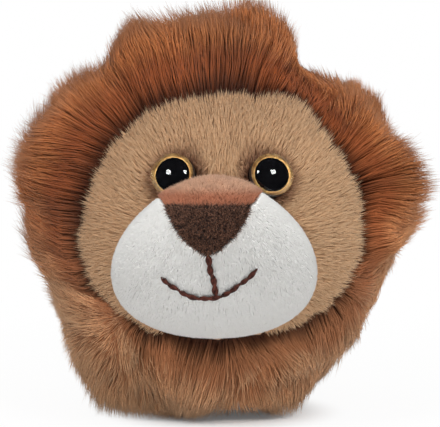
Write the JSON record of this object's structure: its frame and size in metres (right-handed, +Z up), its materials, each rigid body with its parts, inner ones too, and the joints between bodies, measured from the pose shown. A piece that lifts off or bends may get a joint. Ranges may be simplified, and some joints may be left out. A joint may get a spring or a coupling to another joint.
{
  "type": "plush lion",
  "caption": "Ball-shaped plush lion: tufted long-pile mane round a short-pile face, padded muzzle with embroidered smile, domed safety eyes, flat weighted seat.",
  "frame": {"origin": "on the ground under the ball's centre, at the middle of the flat seat", "axes": "+Z up, the face looks along -Y, the lion's own left is +X"},
  "size_m": [0.1107, 0.1084, 0.1058],
  "materials": {
    "mane_fur": "long brushed pile, dark at the roots and lighter at the tips",
    "face_plush": "short brushed pile",
    "muzzle_plush": "velvety short pile",
    "bridge_plush": "velvety short pile",
    "nose_plush": "short curly pile",
    "thread": "twisted embroidery thread",
    "fibre_filling": "loose fibre",
    "pellet_bag": "plain woven cloth",
    "eye_lens": "clear polished dome",
    "eye_gold": "metallic gold",
    "eye_black": "gloss",
    "washer": "natural"
  },
  "bodies": {
    "root": {"crown_fur": "mane_fur", "left_mane_fur": "mane_fur", "right_mane_fur": "mane_fur", "left_chest_fur": "mane_fur", "right_chest_fur": "mane_fur", "left_back_fur": "mane_fur", "right_back_fur": "mane_fur", "seat_fur": "mane_fur", "face_panel": "face_plush", "muzzle_padding": "fibre_filling", "muzzle_cover": "muzzle_plush", "nose_bridge": "bridge_plush", "nose_patch": "nose_plush", "smile_stitching": "thread", "lip_stitching": "thread", "fibre_filling": "fibre_filling", "pellet_bag": "pellet_bag", "left_eye_moulding": "eye_black", "left_eye_iris": "eye_gold", "left_eye_lens": "eye_lens", "left_eye_washer": "washer", "right_eye_moulding": "eye_black", "right_eye_iris": "eye_gold", "right_eye_lens": "eye_lens", "right_eye_washer": "washer"}
  },
  "joints": []
}
